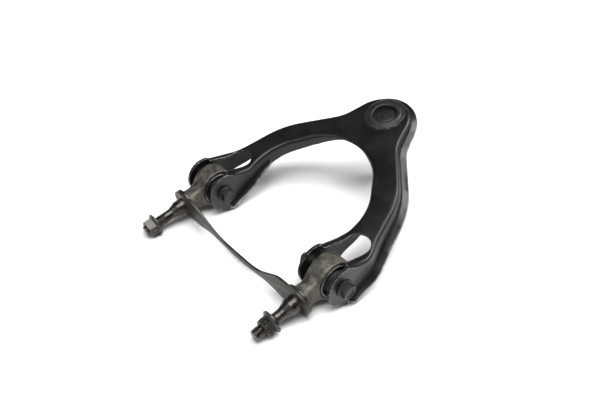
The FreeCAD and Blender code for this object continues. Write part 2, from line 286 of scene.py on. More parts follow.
class SharedGroups:
    """Node groups that several finishes use, each built once."""

    @staticmethod
    def _new(name: str, inputs: dict[str, float], outputs: Sequence[str]
             ) -> tuple[Graph, bpy.types.NodeOutputs, bpy.types.NodeInputs] | None:
        """Start a group of value sockets.

        Args:
            name: The group's name.
            inputs: Its inputs and their defaults.
            outputs: Its outputs.

        Returns:
            Its tree, what it is given and what it has to fill, or None where it exists.
        """
        if name in bpy.data.node_groups:
            return None
        tree = bpy.data.node_groups.new(name, "ShaderNodeTree")
        for label in (*inputs, *outputs):
            socket = tree.interface.new_socket(
                label, in_out="INPUT" if label in inputs else "OUTPUT",
                socket_type="NodeSocketFloat")
            socket.default_value = inputs.get(label, 0.0)
        graph = Graph(tree)
        return graph, graph.add("NodeGroupInput").outputs, graph.add("NodeGroupOutput").inputs

    @classmethod
    def edge_rub_and_highlight(cls) -> bpy.types.NodeTree:
        """Mask that is high on edges, broken up by noise: rubbed edges, and on the black coat painted highlight
        lines.
        """
        made = cls._new("edge_rub_and_highlight", {"Radius": 0.0008, "Amount": 0.5, "Breakup": 600.0},
                        ["Wear"])
        if made:
            graph, given, result = made
            rounded = graph.add("ShaderNodeBevel", {"Radius": given["Radius"]}, samples=4)
            true_normal = graph.add("ShaderNodeNewGeometry").outputs["Normal"]
            dot = graph.add("ShaderNodeVectorMath", {0: rounded.outputs[0], 1: true_normal},
                            operation="DOT_PRODUCT")
            edge = graph.span(graph.math("SUBTRACT", 1.0, dot.outputs["Value"]), 0.01, 0.16)
            patchy = graph.span(graph.noise(given["Breakup"], 5.0, 0.5), 0.38, 0.66)
            rub_and_highlight = graph.math("MULTIPLY", edge, patchy)
            graph.feed(result["Wear"], graph.math("MULTIPLY", rub_and_highlight, given["Amount"], clamp=True))
        return bpy.data.node_groups["edge_rub_and_highlight"]

    @classmethod
    def surface_grain(cls) -> bpy.types.NodeTree:
        """Fine grain height, broad patches and sparse pits of a metal surface."""
        made = cls._new("surface_grain", {"Grain": 1500.0, "Patches": 60.0},
                        ["Height", "Patch"])
        if made:
            graph, given, result = made
            fine = graph.noise(given["Grain"], 3.0, 0.5)
            broad = graph.noise(given["Patches"], 6.0, 0.62)
            cells = graph.add("ShaderNodeTexVoronoi", {
                "Vector": graph.place(), "Scale": graph.math("MULTIPLY", given["Grain"], 0.35)})
            pits = graph.span(cells.outputs["Distance"], 0.02, 0.16, 1.0, 0.0)
            gated = graph.math("MULTIPLY", pits, graph.span(broad, 0.5, 0.7))
            graph.feed(result["Height"], graph.math("SUBTRACT", fine, gated))
            graph.feed(result["Patch"], graph.span(broad, 0.3, 0.7))
        return bpy.data.node_groups["surface_grain"]

    @classmethod
    def settled_dust(cls) -> bpy.types.NodeTree:
        """Mask of the thin dust that lies on faces that look up."""
        made = cls._new("settled_dust", {"Amount": 0.1, "Speckle": 900.0}, ["Dust"])
        if made:
            graph, given, result = made
            normal = graph.add("ShaderNodeNewGeometry").outputs["Normal"]
            height = graph.add("ShaderNodeSeparateXYZ", {0: normal}).outputs["Z"]
            specks = graph.span(graph.noise(given["Speckle"], 6.0, 0.7), 0.45, 0.75)
            lying = graph.math("MULTIPLY", graph.span(height, 0.2, 0.95), specks)
            graph.feed(result["Dust"], graph.math("MULTIPLY", lying, given["Amount"], clamp=True))
        return bpy.data.node_groups["settled_dust"]


@dataclass(frozen=True)
class Finish:
    """Surface finish of one kind of part.

    Attributes:
        name: Name of the material.
        slot: Slot of the record that the finish belongs to.
        dark: Colour of its darker patches.
        light: Colour of its lighter patches.
        rub_and_highlight: Colour where edges are rubbed; on the black coat it is partly rubbed paint, partly a
            painted highlight along edges and bends.
        roughness: Roughness of smooth and of dull patches.
        metallic: Metallic value of the sound surface.
        rub_and_highlight_metallic: Metallic value of the rubbed edges and of the painted edge highlights.
        rub_and_highlight_amount: How much of the edges takes the rubbed colour and painted highlight, from 0 to 1.
        edge_radius: Radius that edges look rounded to, metres.
        grain: Grain cells per metre.
        patches: Patches per metre.
        relief: Height of the grain, metres.
        dust: Amount of settled dust.
        coat: Weight of a clear top layer.
        specular: Specular level.
    """

    name: str
    slot: Slot
    dark: Colour
    light: Colour
    rub_and_highlight: Colour
    roughness: tuple[float, float] = (0.35, 0.5)
    metallic: float = 0.0
    rub_and_highlight_metallic: float = 1.0
    rub_and_highlight_amount: float = 0.3
    edge_radius: float = 0.0006
    grain: float = 1500.0
    patches: float = 60.0
    relief: float = 0.00004
    dust: float = 0.0
    coat: float = 0.0
    specular: float = 0.5

    def material(self) -> bpy.types.Material:
        """The finish's material, built on first use."""
        title = f"{self.name}_finish"
        material = bpy.data.materials.get(title)
        if not material:
            material = bpy.data.materials.new(title)
            material.use_nodes = True
            self._dress(Graph(material.node_tree), material.node_tree.nodes["Principled BSDF"])
        return material

    def _relief(self, graph: Graph, height: bpy.types.NodeSocket) -> bpy.types.NodeSocket:
        """Height that the bump reads."""
        return height

    def _dress(self, graph: Graph, shader: bpy.types.Node) -> None:
        """Build the node tree around the Principled shader.

        Args:
            graph: The material's node tree.
            shader: Its Principled shader.
        """
        grain = graph.group(SharedGroups.surface_grain(), Grain=self.grain, Patches=self.patches)
        patch = grain["Patch"]
        rub_and_highlight = graph.group(SharedGroups.edge_rub_and_highlight(), Radius=self.edge_radius,
                           Amount=self.rub_and_highlight_amount)["Wear"]
        dust = graph.group(SharedGroups.settled_dust(), Amount=self.dust)["Dust"]
        # Edges take the rubbed colour: real wear on most finishes, and on the black coat also a painted highlight
        # line along edges and bends.
        colour = graph.mix(rub_and_highlight, graph.mix(patch, self.dark, self.light), self.rub_and_highlight)
        rough = graph.span(patch, 0.0, 1.0, *self.roughness)
        rough = graph.math("SUBTRACT", rough, graph.math("MULTIPLY", rub_and_highlight, WEAR_POLISH))
        rough = graph.math("ADD", rough, graph.math("MULTIPLY", dust, DUST_DULLING), clamp=True)
        metal = self.metallic
        if metal != self.rub_and_highlight_metallic:
            metal = graph.span(rub_and_highlight, 0.0, 1.0, metal, self.rub_and_highlight_metallic)
        rounded = graph.add("ShaderNodeBevel", {"Radius": self.edge_radius}, samples=4)
        bump = graph.add("ShaderNodeBump", {
            "Strength": 1.0, "Distance": self.relief, "Normal": rounded.outputs[0],
            "Height": self._relief(graph, grain["Height"])})
        for name, value in (("Base Color", graph.mix(dust, colour, DUST_COLOUR)),
                            ("Roughness", rough), ("Metallic", metal),
                            ("Specular IOR Level", self.specular), ("Coat Weight", self.coat),
                            ("Coat Roughness", COAT_ROUGHNESS), ("Normal", bump.outputs[0])):
            graph.feed(shader.inputs[name], value)


@dataclass(frozen=True)
class RolledFinish(Finish):
    """Rolled sheet, with streaks along the rolling direction.

    Attributes:
        streaks: Streaks per metre across the sheet.
    """

    streaks: float = 900.0

    def _relief(self, graph: Graph, height: bpy.types.NodeSocket) -> bpy.types.NodeSocket:
        """Grain with drawn-out streaks along Y."""
        drawn = graph.add("ShaderNodeMapping", {"Vector": graph.place(),
                                                "Scale": (1.0, 0.03, 1.0)})
        return graph.math("ADD", height, graph.noise(self.streaks, 3.0, vector=drawn.outputs[0]))


@dataclass(frozen=True)
class TurnedFinish(Finish):
    """Turned steel, with fine rings about the part's own Y axis.

    Attributes:
        rings: Rings per metre of radius.
    """

    rings: float = 1400.0

    def _relief(self, graph: Graph, height: bpy.types.NodeSocket) -> bpy.types.NodeSocket:
        """Grain with tool rings about the axis."""
        wave = graph.add("ShaderNodeTexWave", {
            "Vector": graph.place(), "Scale": self.rings, "Distortion": 0.6},
            wave_type="RINGS", rings_direction="Y")
        return graph.math("ADD", height, wave.outputs["Fac"])


@dataclass(frozen=True)
class Palette:
    """All the finishes of the part."""

    # The black coat's pale, near-full edge colour is partly rubbed paint and partly painted highlight lines along
    # its bends and edges.
    black_coat: Finish = Finish(
        "black_coat", Slot.BLACK_COAT, (0.0016, 0.0016, 0.0016), (0.0036, 0.0036, 0.0036),
        (0.5, 0.5, 0.48), roughness=(0.3, 0.42), rub_and_highlight_amount=0.9, edge_radius=0.0016,
        grain=700.0, patches=35.0, relief=0.00006, dust=0.002, coat=0.15, specular=0.32)
    # Lip edges: a lighter metallic band, partly bare sheared steel and partly a painted highlight line.
    lip_edge_bare_and_highlight: Finish = Finish(
        "lip_edge_bare_and_highlight", Slot.BLACK_COAT, (0.07, 0.07, 0.067), (0.32, 0.32, 0.31),
        (0.6, 0.6, 0.58), roughness=(0.3, 0.45), metallic=0.6, rub_and_highlight_amount=0.6,
        edge_radius=0.0008, grain=900.0, patches=220.0, relief=0.00005)
    cap_coat: Finish = Finish(
        "cap_coat", Slot.CAP_COAT, (0.008, 0.0085, 0.008), (0.017, 0.018, 0.017),
        (0.2, 0.2, 0.19), roughness=(0.36, 0.48), metallic=0.2, rub_and_highlight_amount=0.5,
        edge_radius=0.0006, grain=1100.0, patches=90.0, relief=0.00004, dust=0.015)
    cap_plug: Finish = Finish(
        "cap_plug", Slot.CAP_PLUG, (0.003, 0.0042, 0.003), (0.006, 0.008, 0.006),
        (0.1, 0.1, 0.09), roughness=(0.4, 0.55), metallic=0.2, rub_and_highlight_amount=0.2,
        grain=900.0, patches=120.0, relief=0.00004, dust=0.01)
    forged_steel: Finish = Finish(
        "forged_steel", Slot.FORGED_STEEL, (0.04, 0.038, 0.031), (0.125, 0.119, 0.101),
        (0.3, 0.29, 0.26), roughness=(0.36, 0.56), metallic=0.6, rub_and_highlight_amount=0.45,
        edge_radius=0.0009, grain=900.0, patches=150.0, relief=0.00022, dust=0.03)
    machined_steel: Finish = Finish(
        "machined_steel", Slot.FORGED_STEEL, (0.018, 0.017, 0.015), (0.085, 0.081, 0.073),
        (0.5, 0.49, 0.46), roughness=(0.2, 0.36), metallic=0.85, rub_and_highlight_amount=0.5,
        edge_radius=0.0004, grain=1800.0, patches=220.0, relief=0.00004)
    strap_steel: Finish = RolledFinish(
        "strap_steel", Slot.STRAP_STEEL, (0.02, 0.02, 0.0185), (0.058, 0.058, 0.054),
        (0.36, 0.35, 0.33), roughness=(0.36, 0.52), metallic=0.6, rub_and_highlight_amount=0.4,
        edge_radius=0.0005, grain=1500.0, patches=110.0, relief=0.00006, dust=0.02)
    nut_steel: Finish = Finish(
        "nut_steel", Slot.NUT_STEEL, (0.022, 0.021, 0.019), (0.075, 0.072, 0.064),
        (0.42, 0.4, 0.36), roughness=(0.24, 0.4), metallic=0.8, rub_and_highlight_amount=0.7,
        edge_radius=0.0004, grain=1600.0, patches=260.0, relief=0.00005)
    phosphated: Finish = Finish(
        "phosphated", Slot.PHOSPHATED, (0.009, 0.009, 0.0085), (0.022, 0.022, 0.021),
        (0.2, 0.2, 0.19), roughness=(0.38, 0.54), metallic=0.4, rub_and_highlight_amount=0.5,
        edge_radius=0.0004, grain=1800.0, patches=220.0, relief=0.00005, dust=0.015)
    sleeve_steel: Finish = TurnedFinish(
        "sleeve_steel", Slot.SLEEVE_STEEL, (0.2, 0.195, 0.18), (0.34, 0.33, 0.31),
        (0.6, 0.59, 0.57), roughness=(0.24, 0.36), metallic=1.0, rub_and_highlight_amount=0.4,
        edge_radius=0.0003, relief=0.00001)
    bright_steel: Finish = Finish(
        "bright_steel", Slot.BRIGHT_STEEL, (0.38, 0.375, 0.36), (0.52, 0.515, 0.5),
        (0.7, 0.7, 0.68), roughness=(0.2, 0.32), metallic=1.0, rub_and_highlight_amount=0.3,
        edge_radius=0.0003, grain=2200.0, relief=0.00001)
    spring_steel: Finish = Finish(
        "spring_steel", Slot.SPRING_STEEL, (0.28, 0.28, 0.27), (0.4, 0.4, 0.39),
        (0.6, 0.6, 0.58), roughness=(0.28, 0.4), metallic=1.0, rub_and_highlight_amount=0.4,
        edge_radius=0.0002, relief=0.00002)
    seat_plastic: Finish = Finish(
        "seat_plastic", Slot.SEAT_PLASTIC, (0.62, 0.61, 0.56), (0.7, 0.69, 0.64),
        (0.75, 0.74, 0.7), roughness=(0.4, 0.5), rub_and_highlight_metallic=0.0, rub_and_highlight_amount=0.1,
        grain=1200.0, relief=0.00002)
    rubber: Finish = Finish(
        "rubber", Slot.RUBBER, (0.007, 0.007, 0.007), (0.013, 0.013, 0.0125),
        (0.03, 0.03, 0.028), roughness=(0.55, 0.7), rub_and_highlight_metallic=0.0, rub_and_highlight_amount=0.4,
        grain=1600.0, patches=130.0, relief=0.00006, dust=0.02, specular=0.3)

    def by_slot(self) -> dict[str, Finish]:
        """The finish of each slot's CAD nodes, the first where a slot has two."""
        finishes = [getattr(self, item.name) for item in reversed(fields(self))]
        return {finish.slot.value: finish for finish in finishes}


# Mesh building


def lathe(outline: Outline, closed: bool = True, steps: int = 72) -> bmesh.types.BMesh:
    """Turned shape about the local Z axis.

    Args:
        outline: Points of the section as (radius, height).
        closed: Whether the last point joins the first.
        steps: Number of steps in the full turn.

    Returns:
        The new mesh.
    """
    bm = bmesh.new()
    verts = [bm.verts.new((radius, 0, height)) for radius, height in outline]
    ends = verts[1:] + verts[:1] if closed else verts[1:]
    edges = [bm.edges.new(pair) for pair in zip(verts, ends)]
    bmesh.ops.spin(bm, geom=verts + edges, cent=(0, 0, 0), axis=(0, 0, 1),
                   angle=math.tau, steps=steps, use_merge=True)
    return healed(bm)


def mirrored(outline: Outline) -> Outline:
    """Outline closed by its own mirror image below the middle."""
    return [(radius, -height) for radius, height in reversed(outline)] + list(outline)


def healed(bm: bmesh.types.BMesh) -> bmesh.types.BMesh:
    """Merge doubles and turn the faces outward.

    Args:
        bm: The mesh.

    Returns:
        The same mesh.
    """
    bmesh.ops.remove_doubles(bm, verts=bm.verts, dist=1e-4)
    bmesh.ops.dissolve_degenerate(bm, edges=bm.edges, dist=1e-5)
    bmesh.ops.recalc_face_normals(bm, faces=bm.faces)
    return bm


def round_edges(bm: bmesh.types.BMesh, radius: float, least_angle: float
                ) -> bmesh.types.BMesh:
    """Round the edges of a mesh that are sharper than an angle.

    Args:
        bm: The mesh.
        radius: Width of the rounding, millimetres.
        least_angle: Smallest angle between the faces of an edge, degrees.

    Returns:
        The same mesh.
    """
    sharp = [edge for edge in bm.edges if len(edge.link_faces) == 2
             and edge.calc_face_angle() > math.radians(least_angle)]
    bmesh.ops.bevel(bm, geom=sharp, offset=radius, offset_type="OFFSET", segments=2,
                    profile=0.5, affect="EDGES", material=-1, clamp_overlap=True)
    return bm


def corner_radius(across_flats: float) -> float:
    """Radius of a hexagon's corners."""
    return across_flats / 2 / math.cos(SIXTH / 2)


def hexed(bm: bmesh.types.BMesh, across_flats: float, low: float, high: float,
          chamfer: float, turn: float) -> bmesh.types.BMesh:
    """Press the tagged drum of a lathe into a hexagon with turned-off corners.

    Args:
        bm: A lathe whose drum has the hexagon's corner radius.
        across_flats: Width between flats, millimetres.
        low: Lower end of the drum.
        high: Upper end of the drum.
        chamfer: Slope of the turned-off corners.
        turn: Angle that the hexagon is turned by, degrees.

    Returns:
        The same mesh.
    """
    for vert in bm.verts:
        radius = math.hypot(vert.co.x, vert.co.y)
        if radius < corner_radius(across_flats) - 1e-3 or not low - 1e-3 <= vert.co.z <= high + 1e-3:
            continue
        angle = math.atan2(vert.co.y, vert.co.x)
        within = (angle + SIXTH / 2) % SIXTH - SIXTH / 2
        flat = across_flats / 2 / math.cos(SIXTH / 2 - abs(within))
        vert.co.x *= flat / radius
        vert.co.y *= flat / radius
        if abs(vert.co.z - high) < 1e-3:
            vert.co.z -= chamfer * (flat - across_flats / 2)
    bmesh.ops.rotate(bm, verts=bm.verts, matrix=Matrix.Rotation(math.radians(turn), 3, "Z"))
    return bm


def thread(radii: tuple[float, float], low: float, high: float,
           chamfers: tuple[float, float] = (0.4, 1.4), steps: int = 36) -> bmesh.types.BMesh:
    """Screw thread about the local Z axis, cut square and closed at both ends.

    Args:
        radii: Radius at the root and at the crest, millimetres.
        low: Lower end.
        high: Upper end.
        chamfers: Heights over which the lower and upper ends run down to the root.
        steps: Steps in one turn.

    Returns:
        The new mesh.
    """
    bm = bmesh.new()
    core, crest = radii
    turns = math.ceil((high - low) / PITCH) + 2
    start = low - 1.5 * PITCH
    section = [(core, 0.0), (core, 0.12), (crest, 0.46), (crest, 0.6), (core, 0.94), (core, 1.0)]
    verts = [bm.verts.new((radius, 0, start + rise * PITCH)) for radius, rise in section]
    edges = [bm.edges.new(pair) for pair in zip(verts, verts[1:])]
    bmesh.ops.spin(bm, geom=verts + edges, cent=(0, 0, 0), axis=(0, 0, 1),
                   dvec=(0, 0, PITCH / steps), angle=math.tau * turns,
                   steps=steps * turns, use_merge=False)
    bmesh.ops.remove_doubles(bm, verts=bm.verts, dist=1e-4)
    for height, side in ((low, -1), (high, 1)):
        cut = bmesh.ops.bisect_plane(bm, geom=bm.verts[:] + bm.edges[:] + bm.faces[:],
                                     plane_co=(0, 0, height), plane_no=(0, 0, side),
                                     clear_outer=True)
        rim = [item for item in cut["geom_cut"] if isinstance(item, bmesh.types.BMEdge)]
        bmesh.ops.contextual_create(bm, geom=rim)
    for vert in bm.verts:
        radius = math.hypot(vert.co.x, vert.co.y)
        ramp = min((vert.co.z - low) / chamfers[0], (high - vert.co.z) / chamfers[1], 1.0)
        limit = core - 0.25 + (crest - core + 0.25) * max(ramp, 0.0)
        if radius > limit:
            vert.co.x *= limit / radius
            vert.co.y *= limit / radius
    bmesh.ops.recalc_face_normals(bm, faces=bm.faces)
    return bm


def joined(*parts: bmesh.types.BMesh) -> bmesh.types.BMesh:
    """Put several meshes into one."""
    whole = bmesh.new()
    for part in parts:
        mesh = bpy.data.meshes.new("part")
        part.to_mesh(mesh)
        part.free()
        whole.from_mesh(mesh)
        bpy.data.meshes.remove(mesh)
    return whole


def put_piece(bm: bmesh.types.BMesh, name: str, datum: Datum, finish: Finish, body: Body | None,
              stands_for: Sequence[str] = (), crease: float = 35.0) -> bpy.types.Object:
    """Make a finished piece of a mesh.

    Args:
        bm: The piece's mesh in local millimetres.
        name: Name of the piece.
        datum: Its local frame.
        finish: Its finish.
        body: The body it rides on, or None to leave it on no body.
        stands_for: CAD nodes that it replaces.
        crease: Angle above which an edge is drawn sharp, degrees.

    Returns:
        The new object.
    """
    bmesh.ops.transform(bm, matrix=datum.matrix(), verts=bm.verts)
    mesh = bpy.data.meshes.new(name)
    bm.to_mesh(mesh)
    bm.free()
    mesh.polygons.foreach_set("use_smooth", [True] * len(mesh.polygons))
    mesh.set_sharp_from_angle(angle=math.radians(crease))
    mesh.materials.append(finish.material())
    obj = bpy.data.objects.new(name, mesh)
    bpy.context.scene.collection.objects.link(obj)
    if body:
        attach(obj, body.value)
    if stands_for:
        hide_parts(*stands_for)
    LOG.info("%s: %d faces, %s", name, len(mesh.polygons), finish.name)
    return obj


def dress_node(name: str, finish: Finish) -> None:
    """Give a carried-over CAD node its finish.

    Args:
        name: The node.
        finish: Its finish.
    """
    node = frame["nodes"][name]
    node.data.materials.clear()
    node.data.materials.append(finish.material())
    LOG.info("%s: CAD shape, %s", name, finish.name)


def cad_copy(name: str, flat: bool = True) -> bmesh.types.BMesh:
    """Welded copy of a CAD node.

    Args:
        name: The node.
        flat: Whether its flat faces are made whole again.

    Returns:
        The copy, in millimetres of the part's frame.
    """
    bm = bmesh.new()
    bm.from_mesh(frame["nodes"][name].data)
    bmesh.ops.scale(bm, vec=(1 / MM,) * 3, verts=bm.verts)
    bmesh.ops.remove_doubles(bm, verts=bm.verts, dist=2e-3)
    if flat:
        bmesh.ops.dissolve_limit(bm, angle_limit=math.radians(1.0), verts=bm.verts,
                                 edges=bm.edges)
    bmesh.ops.recalc_face_normals(bm, faces=bm.faces)
    return bm


def eased(value: float, low: float, high: float) -> float:
    """Smooth step of a value from 0 at low to 1 at high."""
    step = min(max((value - low) / (high - low), 0.0), 1.0)
    return step * step * (3 - 2 * step)


PART = Datum(Vector((0, 0, 0)), Vector((1, 0, 0)), Vector((0, 0, 1)))


# Sub-assemblies


@dataclass(frozen=True)
class ArmPressing:
    """Pressed wishbone: level web, flared outer walls and turned lips.

    Attributes:
        tilt: Web above the line of the studs, degrees.
        flare: How far the foot of the outer walls leans out, millimetres.
        depth: Height over which it leans out, millimetres.
        centre: Middle of the arch along the web, millimetres.
        clear: Distance from there beyond which a wall is an outer one, millimetres.
        fades: Lengths along the web over which the lean comes in and goes out.
        underside: Height of the web's underside.
        steep: Upright part of a normal below which a face is on a side.
        foot: Height of the outer foot at the pivot axis and its slope.
        inner_foot: Where the inner foot begins, its step above the outer one and its slope.
        sheet: Thickness of a lip, millimetres.
        lip_end: How far along the web the inner lip runs, millimetres.
    """

    tilt: float = 9.5
    flare: float = 2.3
    depth: float = 20.0
    centre: float = 70.0
    clear: float = 84.0
    fades: tuple[tuple[float, float], tuple[float, float]] = ((38.0, 62.0), (165.0, 190.0))
    underside: float = -2.0
    steep: float = 0.4
    foot: tuple[float, float] = (-25.5, 0.08)
    inner_foot: tuple[float, float, float] = (20.0, 1.5, 0.21)
    sheet: float = 3.1
    lip_end: float = 66.0

    def _datum(self, layout: Layout) -> Datum:
        """Frame with its X axis along the web."""
        turn, bracket = math.radians(self.tilt), layout.bracket
        return Datum(bracket.origin,
                     bracket.x_axis * math.cos(turn) + bracket.z_axis * math.sin(turn),
                     bracket.z_axis * math.cos(turn) - bracket.x_axis * math.sin(turn))

    def build(self, layout: Layout, palette: Palette) -> None:
        """Make the pressing from the CAD shape.

        Args:
            layout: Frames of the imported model.
            palette: The finishes.
        """
        bm = cad_copy("arm_pressing", flat=False)
        to_arm = self._datum(layout).matrix().inverted() @ Matrix.Scale(MM, 4)
        bmesh.ops.transform(bm, matrix=to_arm, verts=bm.verts)
        for vert in bm.verts:
            offset = Vector((vert.co.x - self.centre, vert.co.y))
            if offset.length < self.clear:
                continue
            lean = min(max((self.underside - vert.co.z) / self.depth, 0.0), 1.0)
            lean *= eased(vert.co.x, *self.fades[0]) * (1 - eased(vert.co.x, *self.fades[1]))
            push = offset.normalized() * self.flare * lean
            vert.co.x += push.x
            vert.co.y += push.y
        # Low side faces of the lips take the second material, a lighter band that is partly bare sheared steel and
        # partly a painted highlight line.
        for face in bm.faces:
            middle = face.calc_center_median()
            inner = Vector((middle.x - self.centre, middle.y)).length < self.clear
            face.normal_update()
            if abs(face.normal.z) < self.steep and middle.z < self._lip_top(middle.x, inner):
                face.material_index = 1
        piece = put_piece(bm, "wishbone", self._datum(layout), palette.black_coat, Body.ARM,
                          ["arm_pressing"], crease=28.0)
        piece.data.materials.append(palette.lip_edge_bare_and_highlight.material())

    def _lip_top(self, along: float, inner: bool) -> float:
        """Height below which a side face is the sheared edge of a lip.

        Args:
            along: Place along the web.
            inner: Whether the face is on an inner wall.

        Returns:
            The height, below every face where the inner wall has no lip.
        """
        # A side face below this height takes the lip-edge finish: partly bare sheared steel, partly a painted
        # highlight line.
        foot, slope = self.foot
        start, step, inner_slope = self.inner_foot
        if not inner or along < start:
            return foot + slope * along + self.sheet
        if along >= self.lip_end:
            return -math.inf
        return foot + step + (along - start) * inner_slope + self.sheet


@dataclass(frozen=True)
class Anchor:
    """Forged eye on a neck, with its collar and threaded stud.

    Attributes:
        eye: Bore and outer radius of the eye, millimetres.
        eye_half: Half the eye's width.
        neck: Sections of the neck, each its place from eye to collar, half width,
            half height and squareness.
        neck_end: Distance from the eye to the collar's back.
        collar: Radius of the collar.
        seat: Distance from the eye to the collar's face.
        shoulder: Radius and end of the strap's seat.
        pilot: Radius and end of the plain pilot.
        shank: Radius of the waist and the start of the thread.
        tip: Distance from the eye to the stud's tip.
    """

    eye: tuple[float, float] = (17.8, 21.8)
    eye_half: float = 9.9
    neck: tuple[tuple[float, float, float, float], ...] = (
        (0.0, 9.3, 18.4, 8.0), (0.12, 9.2, 17.0, 7.0), (0.28, 9.0, 14.8, 5.0),
        (0.45, 9.0, 13.0, 3.8), (0.62, 9.5, 11.9, 3.0), (0.78, 10.6, 11.8, 2.5),
        (0.9, 12.0, 12.6, 2.2), (0.97, 13.6, 13.9, 2.0), (1.0, 15.0, 15.2, 2.0))
    neck_end: float = 35.9
    collar: float = 16.8
    seat: float = 38.4
    shoulder: tuple[float, float] = (9.0, 41.0)
    pilot: tuple[float, float] = (8.6, 51.5)
    shank: tuple[float, float] = (5.6, 66.0)
    tip: float = 92.2

    def build(self, layout: Layout, palette: Palette, side: Side) -> None:
        """Make one anchor's pieces.

        Args:
            layout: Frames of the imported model.
            palette: The finishes.
            side: Which anchor.
        """
        node = [f"{side.value}_anchor"]
        eye = layout.eye(side)
        along = layout.along_stud(side)
        forging = joined(self._drum(), self._neck())
        put_piece(forging, f"{side.value}_forging", eye, palette.forged_steel, Body.BRACKET,
                  node, crease=50.0)
        put_piece(self._stud(), f"{side.value}_stud", along, palette.machined_steel,
                  Body.BRACKET, node)
        put_piece(thread(M12_RADII, self.shank[1], self.tip - 0.3), f"{side.value}_stud_thread",
                  along, palette.machined_steel, Body.BRACKET, node)

    def _drum(self) -> bmesh.types.BMesh:
        """The eye, drawn about the pivot axis."""
        bore, outer = self.eye
        half, soft = self.eye_half, 1.4
        drum = lathe(mirrored([(outer, half - soft), (outer - 0.4, half - 0.4), (outer - soft, half),
                               (bore + 0.5, half), (bore, half - 0.5)]), steps=96)
        bmesh.ops.rotate(drum, verts=drum.verts, matrix=Matrix.Rotation(math.radians(90), 3, "X"))
        return drum

    def _neck(self) -> bmesh.types.BMesh:
        """The neck, lofted from inside the eye's wall to the collar's back."""
        bm = bmesh.new()
        loops = []
        count, wall = 64, sum(self.eye) / 2
        heights = [self.neck[0][2] * self._corner(math.sin(math.tau * k / count), 8.0)
                   for k in range(count)]
        for along, wide, high, square in self.neck:
            verts = []
            for k, height in enumerate(heights):
                angle = math.tau * k / count
                start = -math.sqrt(wall * wall - height * height)
                verts.append(bm.verts.new((
                    start + (-self.neck_end - start) * along,
                    wide * self._corner(math.cos(angle), square),
                    high * self._corner(math.sin(angle), square))))
            loops.append([bm.edges.new(pair) for pair in zip(verts, verts[1:] + verts[:1])])
        for first, second in zip(loops, loops[1:]):
            bmesh.ops.bridge_loops(bm, edges=first + second)
        for rim in (loops[0], loops[-1]):
            bmesh.ops.contextual_create(bm, geom=rim)
        bmesh.ops.recalc_face_normals(bm, faces=bm.faces)
        return bm

    @staticmethod
    def _corner(value: float, square: float) -> float:
        """A sine or cosine pressed towards a square section."""
        return math.copysign(abs(value) ** (2 / square), value)

    def _stud(self) -> bmesh.types.BMesh:
        """Collar, strap seat, pilot and waist, turned about the stud."""
        back, face = self.neck_end, self.seat
        shank, threaded = self.shank
        pilot, pilot_end = self.pilot
        seat, seat_end = self.shoulder
        return lathe([
            (0, back - 0.2), (self.collar - 0.7, back - 0.2), (self.collar - 0.15, back),
            (self.collar, back + 0.5), (self.collar, face - 0.6), (self.collar - 0.25, face - 0.15),
            (self.collar - 0.8, face), (seat, face), (seat, seat_end), (pilot, seat_end),
            (pilot, pilot_end - 1.2), (pilot - 0.35, pilot_end - 0.3), (pilot - 1.0, pilot_end + 0.4),
            (shank + 0.6, pilot_end + 5.0), (shank + 0.1, pilot_end + 6.4), (shank, pilot_end + 7.5),
            (shank, threaded + 0.4), (0, threaded + 0.4)], closed=False)


@dataclass(frozen=True)
class HexNut:
    """Flanged hex nut, its seat at a height of its frame.

    Attributes:
        bore: Radius of its bore, millimetres.
        flange: Radius and thickness of the flange.
        flats: Width across its flats.
        height: Whole height.
    """

    bore: float
    flange: tuple[float, float]
    flats: float
    height: float

    def mesh(self, seat: float, turn: float) -> bmesh.types.BMesh:
        """The nut's mesh.

        Args:
            seat: Height of its seat.
            turn: Angle that its hexagon is turned by, degrees.

        Returns:
            The mesh, in the frame that the bore runs through along Z.
        """
        wide, thick = self.flange
        top, inner, corner = seat + self.height, self.flats / 2, corner_radius(self.flats)
        bm = lathe([
            (self.bore, seat + 0.7), (self.bore + 0.7, seat), (wide - 0.3, seat), (wide, seat + 0.3),
            (wide, seat + thick * 0.4), (wide - 0.4, seat + thick * 0.4 + 0.35),
            (inner + 0.9, seat + thick), (corner, seat + thick), (corner, top - 0.3),
            (inner - 0.3, top), (self.bore + 0.8, top), (self.bore, top - 0.8)])
        return hexed(bm, self.flats, seat + thick, top - 0.3, chamfer=0.75, turn=turn)


@dataclass(frozen=True)
class TowerNut:
    """Flanged M12 nut on an anchor's stud.

    Attributes:
        seats: Distance from the eye to the nut's seat, by side.
        turns: Angle of its hexagon, by side, degrees.
        nut: The nut's sizes.
    """

    seats: dict[Side, float] = field(default_factory=lambda: {Side.FRONT: 69.7, Side.REAR: 77.4})
    turns: dict[Side, float] = field(default_factory=lambda: {Side.FRONT: 30.0, Side.REAR: 4.0})
    nut: HexNut = HexNut(5.9, (12.0, 3.2), 17.0, 12.0)

    def build(self, layout: Layout, palette: Palette, side: Side) -> None:
        """Make one nut.

        Args:
            layout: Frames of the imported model.
            palette: The finishes.
            side: Which stud.
        """
        bm = self.nut.mesh(self.seats[side], self.turns[side])
        put_piece(bm, f"{side.value}_stud_nut", layout.along_stud(side),
                  palette.nut_steel, Body.BRACKET, [f"{side.value}_tower_nut"], crease=24.0)


